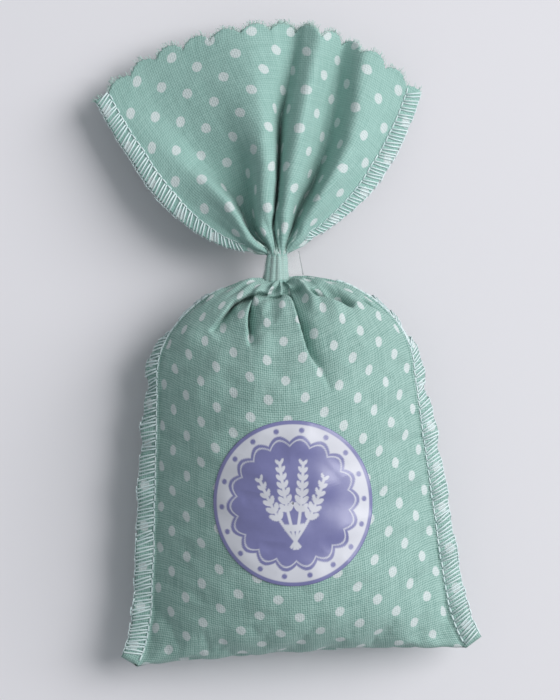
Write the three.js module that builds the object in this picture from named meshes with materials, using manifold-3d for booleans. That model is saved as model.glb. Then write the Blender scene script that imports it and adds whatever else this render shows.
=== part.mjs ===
// Lavender sachet: a cotton pouch filled with dried lavender flowers, its two sides overlocked,
// its neck gathered under a turn of clear tape, a pinked ruffle above the neck and a round label.
// Millimetres, +Z up. The sachet lies on its back: +X is its right, +Y runs from the bottom fold
// to the ruffle, and the origin lies under the middle of the pouch, on the surface it rests on.
import * as THREE from "three";
import { mergeVertices } from "three/addons/utils/BufferGeometryUtils.js";
import Module from "manifold-3d";

// Cloth, thread and fit
const CLOTH = 0.5; // thickness of the printed cotton
const THREAD = 0.4; // diameter of the sewing thread
const STITCH_LENGTH = 1.8; // one overlock stitch along the seam
const SEAM_ALLOWANCE = 4; // cloth outside the line where front and back part
const NEEDLE_OUT = 1.2; // needle line, out from where front and back part
const CLEARANCE = 0.3; // gap between pieces that lie against each other

// Pouch, from the bottom fold to the mouth where the gathers meet the neck
const POUCH_LENGTH = 87;
const BASE_HALF_WIDTH = 35.3; // seam to middle, just above the bottom corners
const SHOULDER_HALF_WIDTH = 29.6; // seam to middle, where the shoulders begin
const SHOULDER_LENGTH = 22; // part of the length that the shoulders round off
const EAR_WIDTH = 3.4; // how far each bottom corner stands out past the base
const EAR_LENGTH = 5; // how far up the side a corner fades
const FRONT_CROWN = 17; // bulge of the front above the seams
const BACK_CROWN = 16.5; // bulge of the back below the seams, before the surface flattens it
const NOSE_LENGTH = 24; // part of the length over which the bottom end rounds off
const CROWN_FALL_LENGTH = 42; // part of the length over which the crown falls to the mouth
const BASE_SEAM_HEIGHT = 11.5; // height of the bottom fold
const NECK_HEIGHT = 14.5; // height of the neck's middle line
const GATHERS = 12; // folds round the pouch at the neck
const GATHER_DEPTH = 1.3;
const GATHER_LENGTH = 26; // part of the length over which the gathers fade
const FLANGE_TURN_LENGTH = 30; // part of the seam over which the allowance turns to the back
const FLANGE_TILT = 22; // degrees that the allowance hangs below level along the side
const FLANGE_TURN = 50; // degrees more that it turns at the shoulder

// Neck, clear tape and its tab
const NECK_RADIUS = 2.5; // of the gathered cloth inside the tape
const NECK_LOBES = 10; // folds in the gathered cloth
const LOBE_DEPTH = 0.2;
const TAPE_WIDTH = 6;
const TAPE_THICKNESS = 0.3;
const TAPE_SETBACK = 1; // free gathered cloth between the tape and each bend
const TAB_LENGTH = 2.2; // the tape's two ends, stuck face to face
const TAB_TRIM = 0.6; // how much narrower the tab is than the tape

// Ruffle above the neck
const RUFFLE_LEFT_LENGTH = 55.6; // upper bend of the neck to the left corner of the pinked edge
const RUFFLE_RIGHT_LENGTH = 50.6;
const RUFFLE_LEFT_ANGLE = 48; // degrees from the neck's line to the left corner
const RUFFLE_RIGHT_ANGLE = 45;
const RUFFLE_ROOT_ANGLE = 80; // spread where the cloth leaves the tape
const RUFFLE_DROOP = 6; // drop of the middle of the pinked edge below the neck's line
const LEFT_CORNER_DROOP = 1.5; // further drop of the corner
const RIGHT_CORNER_DROOP = 6;
const PLEAT_DEPTH = 3.4; // greatest height of a pleat above the mid surface
const RIM_PLEAT_DEPTH = 1.8; // the same at the pinked edge
const PINK_TEETH = 14;
const PINK_DEPTH = 1.8;
// Ridges and valleys across the ruffle: place from left edge (-1) to right edge (1), and height.
const PLEATS = [
  [-1, 0],
  [-0.64, 0.6],
  [-0.44, -0.8],
  [-0.1, 1],
  [0.09, -1],
  [0.28, 1],
  [0.53, -0.9],
  [0.72, 0.8],
  [1, 0],
];

// Label on the front of the pouch
const LABEL_DIAMETER = 38;
const LABEL_THICKNESS = 0.3;
const LABEL_BELOW_MIDDLE = 6.9; // label's centre, from the middle of the pouch

// Mesh steps
const POUCH_RINGS = 14;
const POUCH_POINTS = 4 * GATHERS;
const INNER_RINGS = 9;
const INNER_POINTS = 24;
const SEAM_STEPS = 26;
const RUFFLE_RINGS = 7;
const STEPS_PER_TOOTH = 3;
const ROUND_STEPS = 28;

// Places worked out from the sizes above
const BOTTOM_Y = -POUCH_LENGTH / 2;
const MOUTH_Y = POUCH_LENGTH / 2;
const NECK_REACH = NECK_RADIUS + LOBE_DEPTH; // outermost cloth of the gathered neck
const SOCKET_RADIUS = NECK_REACH + CLEARANCE;
const MOUTH_RADIUS = SOCKET_RADIUS + CLOTH;
const LOWER_BEND_Y = MOUTH_Y + 2 * CLEARANCE;
const UPPER_BEND_Y = LOWER_BEND_Y + TAPE_WIDTH + 2 * TAPE_SETBACK;
const TAPE_INNER_RADIUS = SOCKET_RADIUS;
const TAPE_OUTER_RADIUS = TAPE_INNER_RADIUS + TAPE_THICKNESS;
const LOOP_OFFSET = CLOTH + CLEARANCE + THREAD / 2; // thread's middle from a two-layer seam's middle

const wasm = await Module();
wasm.setup();

const rad = THREE.MathUtils.degToRad;
const lerp = THREE.MathUtils.lerp;
const smooth = THREE.MathUtils.smoothstep;
const vec = (x, y, z) => new THREE.Vector3(x, y, z);

// A quarter of a rounded end: 0 where share is 0, 1 where share is 1 or more.
function roundEnd(share, power) {
  const left = 1 - THREE.MathUtils.clamp(share, 0, 1);
  return Math.pow(1 - Math.pow(left, power), 1 / power);
}

// Solids from grids of points

// Left and right pieces are made by the same steps, so an inside-out one is turned round.
function facingOut(geometry) {
  const p = geometry.getAttribute("position");
  const index = geometry.index.array;
  const [a, b, c] = [vec(0, 0, 0), vec(0, 0, 0), vec(0, 0, 0)];
  let volume = 0;
  for (let i = 0; i < index.length; i += 3) {
    a.fromBufferAttribute(p, index[i]);
    b.fromBufferAttribute(p, index[i + 1]);
    c.fromBufferAttribute(p, index[i + 2]);
    volume += a.dot(b.cross(c));
  }
  if (volume < 0) geometry.setIndex([...index].reverse());
  return geometry;
}

function geometryFrom(points, triangles) {
  const raw = new THREE.BufferGeometry().setFromPoints(points);
  raw.setIndex(triangles);
  return facingOut(mergeVertices(raw, 1e-4));
}

// Closed skin over rings of points; each end is closed to its middle.
function ringSolid(rings) {
  const count = rings[0].length;
  const points = rings.flat();
  const triangles = [];
  for (let r = 0; r + 1 < rings.length; r++) {
    for (let i = 0; i < count; i++) {
      const a = r * count + i;
      const b = r * count + ((i + 1) % count);
      triangles.push(a, b, a + count, b, b + count, a + count);
    }
  }
  const ends = [
    [0, false],
    [(rings.length - 1) * count, true],
  ];
  for (const [start, last] of ends) {
    const ring = points.slice(start, start + count);
    const middle = ring.reduce((sum, p) => sum.add(p), vec(0, 0, 0)).divideScalar(count);
    const centre = points.push(middle) - 1;
    for (let i = 0; i < count; i++) {
      const a = start + i;
      const b = start + ((i + 1) % count);
      triangles.push(...(last ? [centre, a, b] : [centre, b, a]));
    }
  }
  return geometryFrom(points, triangles);
}

// Closed sheet between two grids of points with the same rows and columns, upper one first.
function sheetSolid(upper, lower) {
  const rows = upper.length;
  const columns = upper[0].length;
  const points = [...upper.flat(), ...lower.flat()];
  const shift = rows * columns;
  const triangles = [];
  const quad = (a, b, c, d) => triangles.push(a, b, c, a, c, d);
  for (let r = 0; r + 1 < rows; r++) {
    for (let c = 0; c + 1 < columns; c++) {
      const a = r * columns + c;
      quad(a, a + 1, a + columns + 1, a + columns);
      quad(a + shift, a + shift + columns, a + shift + columns + 1, a + shift + 1);
    }
  }
  const rim = [];
  for (let c = 0; c < columns; c++) rim.push(c);
  for (let r = 1; r < rows; r++) rim.push(r * columns + columns - 1);
  for (let c = columns - 2; c >= 0; c--) rim.push((rows - 1) * columns + c);
  for (let r = rows - 2; r > 0; r--) rim.push(r * columns);
  rim.forEach((a, i) => {
    const b = rim[(i + 1) % rim.length];
    quad(b, a, a + shift, b + shift);
  });
  return geometryFrom(points, triangles);
}

// Joins and cuts

function toSolid(geometry) {
  const bare = new THREE.BufferGeometry();
  bare.setAttribute("position", geometry.getAttribute("position").clone());
  if (geometry.index) bare.setIndex(geometry.index.clone());
  const merged = mergeVertices(bare, 1e-4);
  return new wasm.Manifold(
    new wasm.Mesh({
      numProp: 3,
      vertProperties: new Float32Array(merged.getAttribute("position").array),
      triVerts: new Uint32Array(merged.index.array),
    }),
  );
}

function toGeometry(solid) {
  const mesh = solid.getMesh();
  const geometry = new THREE.BufferGeometry();
  geometry.setAttribute("position", new THREE.BufferAttribute(mesh.vertProperties, 3));
  geometry.setIndex(new THREE.BufferAttribute(mesh.triVerts, 1));
  return geometry;
}

// Everything below a height, as a slab to cut with.
function slabBelow(height) {
  const side = 4 * POUCH_LENGTH;
  return toSolid(new THREE.BoxGeometry(side, side, side).translate(0, 0, height - side / 2));
}

function ballAt(y, radius) {
  return toSolid(
    new THREE.SphereGeometry(radius, ROUND_STEPS, ROUND_STEPS / 2).translate(0, y, NECK_HEIGHT),
  );
}

// Pouch surface: share runs along the length from fold (0) to mouth (1), and turn round the
// section from the right seam over the front, the left seam and the back.

const pouchY = (share) => lerp(BOTTOM_Y, MOUTH_Y, share);
const seamHeight = (share) => lerp(BASE_SEAM_HEIGHT, NECK_HEIGHT, smooth(share, 0, 1));

function halfWidth(share) {
  const along = share * POUCH_LENGTH;
  const sideLength = POUCH_LENGTH - SHOULDER_LENGTH;
  const ear = EAR_WIDTH * Math.exp(-along / EAR_LENGTH);
  const side = lerp(BASE_HALF_WIDTH, SHOULDER_HALF_WIDTH, Math.min(along / sideLength, 1));
  const shoulder = roundEnd((POUCH_LENGTH - along) / SHOULDER_LENGTH, 2.15);
  return MOUTH_RADIUS + (side + ear - MOUTH_RADIUS) * shoulder;
}

function crown(share, height) {
  const along = share * POUCH_LENGTH;
  const nose = roundEnd(along / NOSE_LENGTH, 2.1);
  const fall = roundEnd((POUCH_LENGTH - along) / CROWN_FALL_LENGTH, 2);
  return (MOUTH_RADIUS + (height - MOUTH_RADIUS) * fall) * nose;
}

function gatherAt(share) {
  const fromMouth = (1 - share) * POUCH_LENGTH;
  const grown = 1 - smooth(fromMouth, 0, GATHER_LENGTH);
  const held = smooth(fromMouth, 0, GATHER_LENGTH / 5); // the mouth itself is drawn tight
  return GATHER_DEPTH * grown * held;
}

// Pointed at the seams along the sides, and turning round into the mouth.
function sectionPower(share) {
  return lerp(1.6, 1, smooth(share * POUCH_LENGTH, POUCH_LENGTH - SHOULDER_LENGTH, POUCH_LENGTH));
}

function pouchPoint(share, turn, inset = 0) {
  const rise = Math.sin(turn);
  const height = rise > 0 ? FRONT_CROWN : BACK_CROWN;
  const narrowing = inset * 2.5; // keeps the wall whole where front and back meet at a point
  const lift = (crown(share, height) - inset) * Math.pow(Math.abs(rise), sectionPower(share));
  const fold = gatherAt(share) * (inset ? -1 : Math.cos(GATHERS * turn));
  const x = (halfWidth(share) - narrowing + fold) * Math.cos(turn);
  return vec(x, pouchY(share), seamHeight(share) + Math.sign(rise) * lift + fold * rise);
}

function pouchRings(ringCount, pointCount, from, to, inset) {
  return Array.from({ length: ringCount + 1 }, (_, r) => {
    const share = lerp(from, to, 0.5 - 0.5 * Math.cos((Math.PI * r) / ringCount));
    return Array.from({ length: pointCount }, (_, i) =>
      pouchPoint(share, (2 * Math.PI * i) / pointCount, inset),
    );
  });
}

// Height of the pouch's front above a place on the surface it lies on.
function frontHeight(x, y) {
  const share = (y - BOTTOM_Y) / POUCH_LENGTH;
  const turn = Math.acos(THREE.MathUtils.clamp(x / halfWidth(share), -1, 1));
  return pouchPoint(share, turn).z;
}

// Seams: a line along the needle's path, and the cloth of the allowance outside it. The surface
// takes a share of the line, a distance out from it and a height towards the front.

class SeamLine extends THREE.Curve {
  constructor(surfaceAt) {
    super();
    this.surfaceAt = surfaceAt;
  }

  getPoint(share, target = vec(0, 0, 0)) {
    return target.copy(this.surfaceAt(share, 0, 0));
  }

  // The same surface by part of the seam's length.
  onAllowance(part, out, above) {
    return this.surfaceAt(this.getUtoTmapping(part), out, above);
  }
}

const FLANGE_END = 1 - (2 * NECK_REACH) / POUCH_LENGTH; // the allowance ends beside the gathers

function pouchSeam(side) {
  const lineAt = (share) => {
    const along = share * FLANGE_END;
    return vec(side * halfWidth(along), pouchY(along), seamHeight(along));
  };
  return new SeamLine((share, out, above) => {
    const step = 0.5 / POUCH_LENGTH;
    const ahead = lineAt(Math.min(share + step, 1));
    const along = ahead.sub(lineAt(Math.max(share - step, 0))).normalize();
    const level = vec(along.y, -along.x, 0).multiplyScalar(side).normalize();
    const turned = 1 - smooth((1 - share) * POUCH_LENGTH, 0, FLANGE_TURN_LENGTH);
    const tilt = rad(FLANGE_TILT + FLANGE_TURN * turned);
    const outward = level.multiplyScalar(Math.cos(tilt)).add(vec(0, 0, -Math.sin(tilt)));
    const front = outward.clone().cross(along).multiplyScalar(side).normalize();
    return lineAt(share).addScaledVector(outward, out).addScaledVector(front, above);
  });
}

// The allowance narrows where it runs into the gathers.
const allowanceAt = (part) => SEAM_ALLOWANCE * (1 - 0.6 * smooth(part, 0.8, 1));

function flangeSolid(seam) {
  const grid = (above) =>
    Array.from({ length: SEAM_STEPS + 1 }, (_, s) => {
      const part = s / SEAM_STEPS;
      return [-2 * CLOTH, allowanceAt(part)].map((out) => seam.onAllowance(part, out, above));
    });
  return sheetSolid(grid(CLOTH), grid(-CLOTH));
}

// Room inside the cloth, from just inside the bottom fold up into the mouth.
function roomInside(inset) {
  const fromFold = (2 * CLOTH) / POUCH_LENGTH;
  const toMouth = 1 - (SOCKET_RADIUS - 4 * CLEARANCE) / POUCH_LENGTH;
  const rings = pouchRings(INNER_RINGS, INNER_POINTS, fromFold, toMouth, inset);
  return toSolid(ringSolid(rings)).subtract(slabBelow(inset));
}

function pouchCloth() {
  const outer = toSolid(ringSolid(pouchRings(POUCH_RINGS, POUCH_POINTS, 0.002, 1, 0)));
  const hollow = roomInside(CLOTH);
  const flanges = [-1, 1].map((side) => toSolid(flangeSolid(pouchSeam(side))));
  const sewn = outer.add(flanges[0]).add(flanges[1]);
  const cut = sewn.subtract(hollow).subtract(ballAt(LOWER_BEND_Y, SOCKET_RADIUS));
  return toGeometry(cut.subtract(slabBelow(0)));
}

// The flowers fill the pouch to just below the gathered mouth.
function lavenderFilling() {
  const low = BOTTOM_Y + 2 * CLOTH + CLEARANCE;
  const high = LOWER_BEND_Y - SOCKET_RADIUS - CLEARANCE;
  const side = 4 * POUCH_LENGTH;
  const between = new THREE.BoxGeometry(side, high - low, side).translate(0, (low + high) / 2, 0);
  return toGeometry(roomInside(CLOTH + CLEARANCE).intersect(toSolid(between)));
}

function label() {
  const rings = 4;
  const centreY = -LABEL_BELOW_MIDDLE;
  const at = (radius, turn, above) => {
    const x = radius * Math.cos(turn);
    const y = centreY + radius * Math.sin(turn);
    return vec(x, y, frontHeight(x, y) + above);
  };
  const disc = (above) =>
    Array.from({ length: rings }, (_, r) =>
      Array.from({ length: ROUND_STEPS }, (_, i) =>
        at((LABEL_DIAMETER / 2) * ((r + 1) / rings), (2 * Math.PI * i) / ROUND_STEPS, above),
      ),
    );
  const lift = 1.3 * CLEARANCE;
  const under = disc(lift);
  const face = disc(lift + LABEL_THICKNESS).reverse();
  return ringSolid([...under, ...face]);
}

// Overlock threads. A looper thread crosses the allowance to and fro, twice for each stitch; the
// needle thread runs along the seam line.

// A strand along places on an allowance, each with its part of the seam and distance out. Its
// width is measured outwards from the seam, so a slanting strand is given more of it.
function threadBand(seam, places, above, width) {
  const grid = (height) =>
    places.map(([part, out]) =>
      [-width / 2, width / 2].map((shift) => seam.onAllowance(part, out + shift, height)),
    );
  return sheetSolid(grid(above + THREAD / 2), grid(above - THREAD / 2));
}

function looperThread(seam, above) {
  const turns = 2 * Math.round(seam.getLength() / STITCH_LENGTH);
  const width = 2 * THREAD; // across a strand that slants at about 30 degrees
  const inner = NEEDLE_OUT + THREAD / 2 + CLEARANCE + width / 2;
  const places = Array.from({ length: turns }, (_, i) => {
    const part = (i + 0.5) / turns;
    return [part, i % 2 ? Math.max(inner + THREAD, allowanceAt(part) - width / 2) : inner];
  });
  return threadBand(seam, places, above, width);
}

function needleThread(seam, above) {
  const margin = 0.5 / SEAM_STEPS;
  const places = Array.from({ length: SEAM_STEPS }, (_, i) => [
    margin + i / SEAM_STEPS,
    NEEDLE_OUT,
  ]);
  return threadBand(seam, places, above, THREAD);
}

// Ruffle surface: part runs out from the upper bend (0) to the rim (1), across from the left
// edge (-1) to the right edge (1), and above is the height over its mid surface.

const RUFFLE_ROOT = SOCKET_RADIUS + CLEARANCE / 2; // clear of the neck's rounded end

function pleatAt(across) {
  const next = PLEATS.findIndex(([place]) => place >= across);
  if (next <= 0) return PLEATS[0][1];
  const [from, to] = [PLEATS[next - 1], PLEATS[next]];
  return lerp(from[1], to[1], smooth(across, from[0], to[0]));
}

function pleatDepth(part) {
  const grown = PLEAT_DEPTH * Math.sin(Math.PI * Math.min(1, 0.12 + 0.62 * part));
  return lerp(grown, RIM_PLEAT_DEPTH, smooth(part, 0.6, 1)) * smooth(part, 0.02, 0.3);
}

function ruffleReach(part, across) {
  const length = lerp(RUFFLE_LEFT_LENGTH, RUFFLE_RIGHT_LENGTH, (across + 1) / 2);
  return lerp(RUFFLE_ROOT, length, part);
}

function ruffleEdgeAngle(part, side) {
  const rimAngle = side < 0 ? RUFFLE_LEFT_ANGLE : RUFFLE_RIGHT_ANGLE;
  return lerp(RUFFLE_ROOT_ANGLE, rimAngle, part);
}

// Share of half the ruffle's width that its seam allowance takes up.
function allowanceShare(part, side) {
  const halfArc = ruffleReach(part, Math.sign(side)) * rad(ruffleEdgeAngle(part, side));
  return Math.min(0.4, SEAM_ALLOWANCE / halfArc);
}

// The pleats lie between the two seams, and the allowances outside them stay flat.
function ruffleMiddle(part, across) {
  const angle = rad(ruffleEdgeAngle(part, across) * across);
  const reach = ruffleReach(part, across);
  const cornerDroop = across < 0 ? LEFT_CORNER_DROOP : RIGHT_CORNER_DROOP;
  const drop = part * (RUFFLE_DROOP + cornerDroop * across * across);
  const between = across / (1 - allowanceShare(part, across));
  const pleat = pleatAt(THREE.MathUtils.clamp(between, -1, 1));
  const z = NECK_HEIGHT - drop + pleatDepth(part) * pleat;
  return vec(reach * Math.sin(angle), UPPER_BEND_Y + reach * Math.cos(angle), z);
}

function rufflePoint(part, across, above) {
  const step = 0.01;
  const ahead = Math.min(part + step, 1);
  const outward = ruffleMiddle(ahead, across).sub(ruffleMiddle(ahead - step, across));
  const right = Math.min(across + step, 1);
  const sideways = ruffleMiddle(part, right).sub(ruffleMiddle(part, right - 2 * step));
  const front = sideways.cross(outward).normalize();
  return ruffleMiddle(part, across).addScaledVector(front, above);
}

function ruffleLeaf(lowest, highest) {
  const columns = PINK_TEETH * STEPS_PER_TOOTH;
  const notch = PINK_DEPTH / (RUFFLE_RIGHT_LENGTH - RUFFLE_ROOT);
  const grid = (above) =>
    Array.from({ length: RUFFLE_RINGS + 1 }, (_, r) =>
      Array.from({ length: columns + 1 }, (_, c) => {
        const isNotch = r === RUFFLE_RINGS && c % STEPS_PER_TOOTH !== 0;
        const part = isNotch ? 1 - notch : Math.pow(r / RUFFLE_RINGS, 1.3);
        return rufflePoint(part, (2 * c) / columns - 1, above);
      }),
    );
  return sheetSolid(grid(highest), grid(lowest));
}

// The two leaves lie against each other, so a seam there has the same two layers as the pouch's.
function ruffleSeam(side) {
  const from = 0.16; // the gathers hide the first stitches
  const to = 1 - (2 * PINK_DEPTH) / RUFFLE_RIGHT_LENGTH;
  return new SeamLine((share, out, above) => {
    const part = lerp(from, to, share);
    const inside = allowanceShare(part, side) * (1 - out / SEAM_ALLOWANCE);
    return rufflePoint(part, side * (1 - inside), above);
  });
}

// Neck: a bundle of gathered cloth with a rounded end at each bend

function neckGather() {
  const count = 2 * NECK_LOBES;
  const endSteps = 4;
  const length = UPPER_BEND_Y - LOWER_BEND_Y;
  const ringAt = (y, radius, lobe) =>
    Array.from({ length: count }, (_, i) => {
      const reach = radius + (i % 2 ? -lobe : lobe);
      const turn = (-2 * Math.PI * i) / count;
      return vec(reach * Math.cos(turn), y, NECK_HEIGHT + reach * Math.sin(turn));
    });
  const rings = [];
  for (let s = 1; s <= endSteps; s++) {
    const turn = (Math.PI / 2) * (s / endSteps);
    rings.push(ringAt(LOWER_BEND_Y - NECK_RADIUS * Math.cos(turn), NECK_RADIUS * Math.sin(turn), 0));
  }
  for (const part of [0.2, 0.8]) {
    rings.push(ringAt(LOWER_BEND_Y + part * length, NECK_RADIUS, LOBE_DEPTH));
  }
  for (let s = endSteps; s >= 1; s--) {
    const turn = (Math.PI / 2) * (s / endSteps);
    rings.push(ringAt(UPPER_BEND_Y + NECK_RADIUS * Math.cos(turn), NECK_RADIUS * Math.sin(turn), 0));
  }
  return ringSolid(rings);
}

function neckBand() {
  const half = TAPE_WIDTH / 2;
  const profile = [
    [TAPE_INNER_RADIUS, -half],
    [TAPE_OUTER_RADIUS, -half],
    [TAPE_OUTER_RADIUS, half],
    [TAPE_INNER_RADIUS, half],
    [TAPE_INNER_RADIUS, -half],
  ].map(([radius, along]) => new THREE.Vector2(radius, along));
  return new THREE.LatheGeometry(profile, ROUND_STEPS);
}

function bandTab() {
  const outline = new THREE.Shape();
  const root = TAPE_THICKNESS;
  outline.moveTo(0, -root);
  outline.lineTo(TAB_LENGTH, -root);
  outline.lineTo(TAB_LENGTH, root);
  outline.lineTo(0, root);
  const width = TAPE_WIDTH - TAB_TRIM;
  return new THREE.ExtrudeGeometry(outline, { depth: width, bevelEnabled: false }).translate(
    0,
    0,
    -width / 2,
  );
}

// Materials

const finish = (color, roughness) => new THREE.MeshStandardMaterial({ color, roughness });
const cotton = finish("#7fb5a3", 0.9);
const thread = finish("#cfe4e2", 0.8);
const flowers = finish("#7b72a8", 0.95);
const paper = finish("#7f7cb8", 0.45);
const film = finish("#e8eeec", 0.15);
film.transparent = true;
film.opacity = 0.35;

// Assembly

const sachet = new THREE.Group();

function addPiece(name, geometry, material, parent = sachet) {
  const mesh = new THREE.Mesh(geometry, material);
  mesh.name = name;
  parent.add(mesh);
  return mesh;
}

addPiece("pouch_cloth", pouchCloth(), cotton);
addPiece("lavender_filling", lavenderFilling(), flowers);
addPiece("label", label(), paper);
addPiece("neck_gather", neckGather(), cotton);

const tapeMiddle = new THREE.Group();
tapeMiddle.position.set(0, (LOWER_BEND_Y + UPPER_BEND_Y) / 2, NECK_HEIGHT);
sachet.add(tapeMiddle);
addPiece("neck_band", neckBand(), film, tapeMiddle);
const tab = addPiece("band_tab", bandTab(), film, tapeMiddle);
tab.position.x = TAPE_OUTER_RADIUS + CLEARANCE;
tab.rotation.x = -Math.PI / 2;

addPiece("ruffle_front", ruffleLeaf(CLEARANCE / 2, CLEARANCE / 2 + CLOTH), cotton);
addPiece("ruffle_back", ruffleLeaf(-CLEARANCE / 2 - CLOTH, -CLEARANCE / 2), cotton);

for (const [name, side] of [
  ["left", -1],
  ["right", 1],
]) {
  const seams = [
    ["pouch", pouchSeam(side), LOOP_OFFSET],
    ["ruffle", ruffleSeam(side), LOOP_OFFSET + CLEARANCE / 2],
  ];
  for (const [place, seam, offset] of seams) {
    addPiece(`${place}_${name}_needle_thread`, needleThread(seam, offset), thread);
    addPiece(`${place}_${name}_upper_looper_thread`, looperThread(seam, offset), thread);
    addPiece(`${place}_${name}_lower_looper_thread`, looperThread(seam, -offset), thread);
  }
}

export default sachet;
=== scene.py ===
import math

import bpy
import numpy as np
from mathutils import Matrix, Vector
from mathutils.bvhtree import BVHTree


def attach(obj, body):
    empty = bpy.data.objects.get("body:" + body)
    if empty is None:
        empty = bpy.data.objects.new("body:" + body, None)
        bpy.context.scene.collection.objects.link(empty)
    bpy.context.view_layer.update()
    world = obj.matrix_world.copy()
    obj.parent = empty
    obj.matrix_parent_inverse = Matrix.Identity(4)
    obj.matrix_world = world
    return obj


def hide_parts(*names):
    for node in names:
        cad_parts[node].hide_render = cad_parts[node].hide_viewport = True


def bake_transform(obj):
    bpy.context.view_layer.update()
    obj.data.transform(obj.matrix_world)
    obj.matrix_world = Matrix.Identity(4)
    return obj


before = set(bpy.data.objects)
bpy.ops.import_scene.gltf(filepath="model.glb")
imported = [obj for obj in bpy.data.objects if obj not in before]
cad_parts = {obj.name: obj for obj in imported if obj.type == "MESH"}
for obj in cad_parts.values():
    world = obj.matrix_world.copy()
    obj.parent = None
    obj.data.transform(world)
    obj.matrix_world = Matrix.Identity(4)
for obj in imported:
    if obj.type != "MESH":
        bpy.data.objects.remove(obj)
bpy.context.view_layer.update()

# View: the sachet lies on its back and is seen from straight above, leaning a little to the
# left. The frame takes in 132 x 164 mm at the height of the side seams.
MM = 0.001
VIEW_HEIGHT = 640 * MM
SEAM_LEVEL = 13 * MM
FRAME_LENGTH = 164.5 * MM
SENSOR = 36
scene = bpy.context.scene
camera = bpy.data.objects.new("camera", bpy.data.cameras.new("camera"))
camera.data.sensor_width = SENSOR
camera.data.lens = SENSOR * (VIEW_HEIGHT - SEAM_LEVEL) / FRAME_LENGTH
camera.location = (-0.96 * MM, 28.3 * MM, VIEW_HEIGHT)
camera.rotation_euler = (0, 0, math.radians(-3.3))
scene.collection.objects.link(camera)
scene.camera = camera
scene.view_settings.view_transform = "Standard"

# Surface: a sheet of pale lilac-grey card under the sachet, matt and plain, wide enough to fill
# every view. Below the lamp its colour is darkened, painted shade against the lamp's pool of
# light, and it fades into the room behind.
LAMP_PLACE = Vector((1.22, 0.4, 1.08))
CARD_REACH = 6000


def linear(hex_colour):
    """An sRGB hex colour as linear red, green, blue and alpha."""
    parts = [int(hex_colour[i : i + 2], 16) / 255 for i in (1, 3, 5)]
    return [c / 12.92 if c <= 0.04045 else ((c + 0.055) / 1.055) ** 2.4 for c in parts] + [1.0]


def node(tree, kind, links=(), **settings):
    """Adds a node, a shader's by its kind alone, sets its options and inputs (in_...), and links its
    inputs to nodes or sockets."""
    made = tree.nodes.new(kind if "Node" in kind else "ShaderNode" + kind)
    for name, value in settings.items():
        if name.startswith("in_"):
            key = name[3:]
            made.inputs[int(key) if key.isdigit() else key.replace("_", " ")].default_value = value
        else:
            setattr(made, name, value)
    for key, source in dict(links).items():
        socket = source.outputs[0] if isinstance(source, bpy.types.Node) else source
        tree.links.new(socket, made.inputs[key])
    return made


def new_material(name, **settings):
    """A material with a Principled shader and its inputs; returns it, its tree and the shader."""
    material = bpy.data.materials.new(name)
    material.use_nodes = True
    tree = material.node_tree
    tree.nodes.clear()
    shader = node(tree, "BsdfPrincipled", **settings)
    node(tree, "OutputMaterial", {"Surface": shader})
    return material, tree, shader


def mesh_object(name, points, faces, materials=(), uv=None):
    """A smooth mesh piece at the origin, in metres, from points in millimetres."""
    mesh = bpy.data.meshes.new(name)
    faces = [[int(i) for i in face] for face in faces]
    mesh.from_pydata((np.asarray(points) * MM).tolist(), [], faces, shade_flat=False)
    for material in materials:
        mesh.materials.append(material)
    if uv is not None:
        corners = np.zeros(len(mesh.loops), np.int32)
        mesh.loops.foreach_get("vertex_index", corners)
        layer = mesh.uv_layers.new(name="cloth")
        layer.data.foreach_set("uv", np.asarray(uv, np.float32)[corners].ravel())
    mesh.update()
    piece = bpy.data.objects.new(name, mesh)
    scene.collection.objects.link(piece)
    return piece


card, tree, shader = new_material("uncoated_card", in_Roughness=0.9, in_Specular_IOR_Level=0.15)
place = node(tree, "TexCoord").outputs["Object"]
from_lamp = node(
    tree, "VectorMath", {0: place}, operation="DISTANCE", in_1=(*LAMP_PLACE.xy, 0)
).outputs["Value"]
# Painted shade: the card is coloured darker towards the spot below the lamp.
painted_shade_under_lamp = node(tree, "MapRange", {"Value": from_lamp}, in_1=1.15, in_2=0.45)
tone = node(
    tree, "Mix", {"Factor": painted_shade_under_lamp}, data_type="RGBA",
    in_6=linear("#e4e1e6"), in_7=linear("#959397"),
)
tree.links.new(tone.outputs[2], shader.inputs["Base Color"])
from_middle = node(tree, "VectorMath", {0: place}, operation="LENGTH").outputs["Value"]
fade = node(
    tree, "MapRange", {"Value": from_middle}, interpolation_type="SMOOTHSTEP",
    in_1=0.4, in_2=1.3, in_3=1.0, in_4=0.0,
)
tree.links.new(fade.outputs[0], shader.inputs["Alpha"])
corners = [(x * CARD_REACH, y * CARD_REACH, 0) for x, y in ((-1, -1), (1, -1), (1, 1), (-1, 1))]
floor = mesh_object("surface", corners, [range(4)], [card])

# Light: one broad soft lamp to the sachet's right and a little towards its ruffle, and a pale
# room round it, which leaves a soft shadow on the left.
window = bpy.data.lights.new("window", "AREA")
window.shape = "RECTANGLE"
window.size = 1.05
window.size_y = 1.35
window.energy = 30
lamp = bpy.data.objects.new("window", window)
lamp.location = LAMP_PLACE
lamp.rotation_euler = (Vector((0, 0.03, 0)) - LAMP_PLACE).to_track_quat("-Z", "Y").to_euler()
scene.collection.objects.link(lamp)
world = bpy.data.worlds.new("room")
world.use_nodes = True
tree = world.node_tree
tree.nodes.clear()
fill = node(tree, "Background", in_Color=linear("#e5eef1"), in_Strength=0.41)
seen = node(tree, "Background", in_Color=linear("#dfdee5"), in_Strength=1.0)
ray = node(tree, "LightPath").outputs
direct = ray["Is Camera Ray"]
for kind in ("Is Glossy Ray", "Is Transmission Ray"):
    direct = node(tree, "Math", {0: direct, 1: ray[kind]}, operation="MAXIMUM")
room = node(tree, "MixShader", {0: direct, 1: fill, 2: seen})
node(tree, "OutputWorld", {"Surface": room})
scene.world = world

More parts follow.
